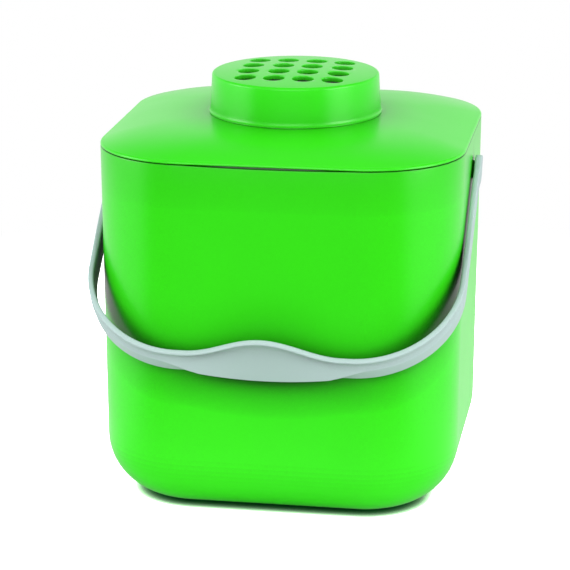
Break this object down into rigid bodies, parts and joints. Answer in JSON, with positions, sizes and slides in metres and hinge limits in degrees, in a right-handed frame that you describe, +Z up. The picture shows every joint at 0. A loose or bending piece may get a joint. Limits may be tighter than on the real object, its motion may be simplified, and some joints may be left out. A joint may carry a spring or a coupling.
{
  "type": "compost caddy",
  "caption": "Rounded square kitchen compost bin with a hinged domed lid, a vented filter cap and a strap handle that swings over it.",
  "frame": {"origin": "on the floor under the middle of the bin, on the flat disc of its base", "axes": "+Z up, -Y to the front where the handle hangs, +X to the right seen from the front"},
  "size_m": [0.2266, 0.2482, 0.2509],
  "materials": {
    "green_plastic": "satin gloss moulded polypropylene",
    "grey_plastic": "satin moulded polypropylene",
    "charcoal_foam": "open-cell foam filled with charcoal",
    "pin_steel": "drawn wire"
  },
  "bodies": {
    "bin": {"bin_body": "green_plastic", "hinge_pin": "pin_steel"},
    "lid": {"lid": "green_plastic", "carbon_filter": "charcoal_foam"},
    "cap": {"vent_cap": "green_plastic"},
    "handle": {"bail_handle": "grey_plastic"}
  },
  "joints": [
    {"name": "lid_hinge", "type": "hinge", "parent": "bin", "child": "lid", "pos_m": [0, 0.1118, 0.2143], "axis": [-1, 0, 0], "range_deg": [0, 105]},
    {"name": "cap_lift", "type": "slide", "parent": "lid", "child": "cap", "axis": [0, 0, 1], "range_m": [0, 0.03]},
    {"name": "handle_swing", "type": "hinge", "parent": "bin", "child": "handle", "pos_m": [0, 0, 0.193], "axis": [-1, 0, 0], "range_deg": [0, 254]}
  ]
}
